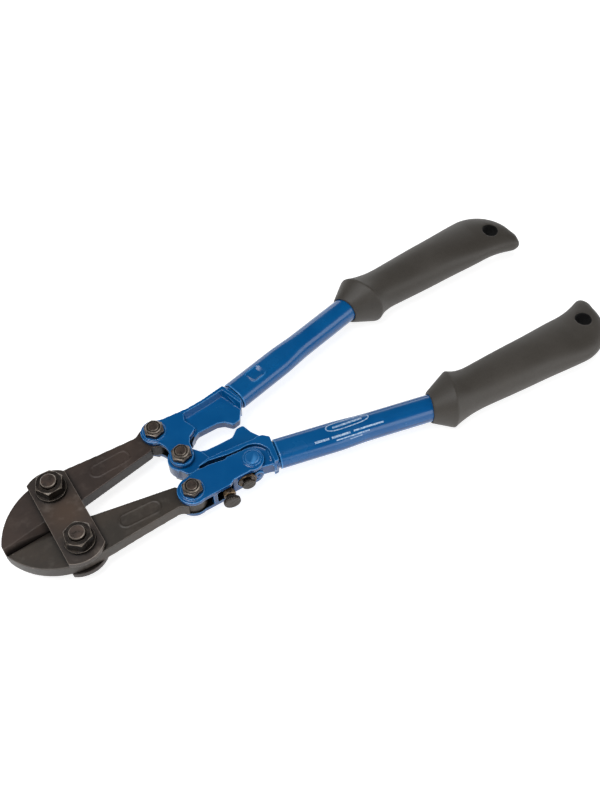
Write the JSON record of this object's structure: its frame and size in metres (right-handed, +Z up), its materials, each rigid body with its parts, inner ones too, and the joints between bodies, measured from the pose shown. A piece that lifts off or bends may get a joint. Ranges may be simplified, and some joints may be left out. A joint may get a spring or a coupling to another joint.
{
  "type": "bolt cutters",
  "caption": "Compound lever bolt cutters with forged jaws between straps, painted tubular handles, an adjuster link and moulded grips, jaws closed.",
  "frame": {"origin": "centre of the object's footprint box, on the surface it lies on", "axes": "+X from the jaw tips to the grip ends, +Y towards the handle whose bracket carries the centre bolt, +Z up through the pivots"},
  "size_m": [0.3526, 0.125, 0.0318],
  "materials": {
    "blackened_steel": "black-oxide forged steel with a brown cast, satin",
    "blue_paint": "glossy blue enamel over forged and drawn steel",
    "fastener_steel": "dark tempered steel with brown glints",
    "grip_rubber": "matte dark grey-brown moulded rubber"
  },
  "bodies": {
    "straps": {"top_strap": "blackened_steel", "bottom_strap": "blackened_steel", "jaw_bolts": "fastener_steel", "jaw_nuts": "fastener_steel", "jaw_washers": "fastener_steel"},
    "jaw_a": {"jaw_a": "blackened_steel"},
    "jaw_b": {"jaw_b": "blackened_steel"},
    "handle_a": {"bracket_a": "blue_paint", "pivot_bolts_a": "fastener_steel", "pivot_nuts_a": "fastener_steel", "tube_a": "blue_paint", "grip_a": "grip_rubber"},
    "link": {"adjuster_link": "blue_paint", "link_pivot_bolt": "fastener_steel", "link_pivot_nut": "fastener_steel", "adjuster_rivet": "blue_paint"},
    "handle_b": {"bracket_b": "blue_paint", "tube_b": "blue_paint", "grip_b": "grip_rubber"},
    "front_screw": {"front_adjusting_screw": "fastener_steel", "front_lock_nut": "fastener_steel"},
    "rear_screw": {"rear_adjusting_screw": "fastener_steel", "rear_lock_ring": "fastener_steel"}
  },
  "joints": [
    {"name": "jaw_a_hinge", "type": "hinge", "parent": "straps", "child": "jaw_a", "pos_m": [-0.1423, 0.017, 0.015], "axis": [0, 0, 1], "range_deg": [-6.3, 0]},
    {"name": "jaw_b_hinge", "type": "hinge", "parent": "straps", "child": "jaw_b", "pos_m": [-0.1423, -0.017, 0.015], "axis": [0, 0, 1], "range_deg": [0, 6.3]},
    {"name": "handle_a_hinge", "type": "hinge", "parent": "jaw_a", "child": "handle_a", "pos_m": [-0.082, 0.021, 0.015], "axis": [0, 0, 1], "range_deg": [0, 43]},
    {"name": "link_hinge", "type": "hinge", "parent": "jaw_b", "child": "link", "pos_m": [-0.082, -0.021, 0.015], "axis": [0, 0, 1], "range_deg": [-43, 0]},
    {"name": "adjuster_hinge", "type": "hinge", "parent": "link", "child": "handle_b", "pos_m": [-0.0468, -0.021, 0.015], "axis": [0, 0, 1], "range_deg": [-0.7, 0.7]},
    {"name": "front_screw_turn", "type": "hinge", "parent": "handle_b", "child": "front_screw", "pos_m": [-0.066, -0.031, 0.015], "axis": [-0.2198, -0.9755, 0], "range_deg": [-180, 180]},
    {"name": "rear_screw_turn", "type": "hinge", "parent": "link", "child": "rear_screw", "pos_m": [-0.054, -0.0284, 0.015], "axis": [-0.2198, -0.9755, 0], "range_deg": [-180, 180]}
  ],
  "couplings": [
    {"joint": "jaw_a_hinge", "follows": "handle_a_hinge", "ratio": -0.1452},
    {"joint": "jaw_b_hinge", "follows": "handle_a_hinge", "ratio": 0.1452},
    {"joint": "link_hinge", "follows": "handle_a_hinge", "ratio": -1}
  ]
}
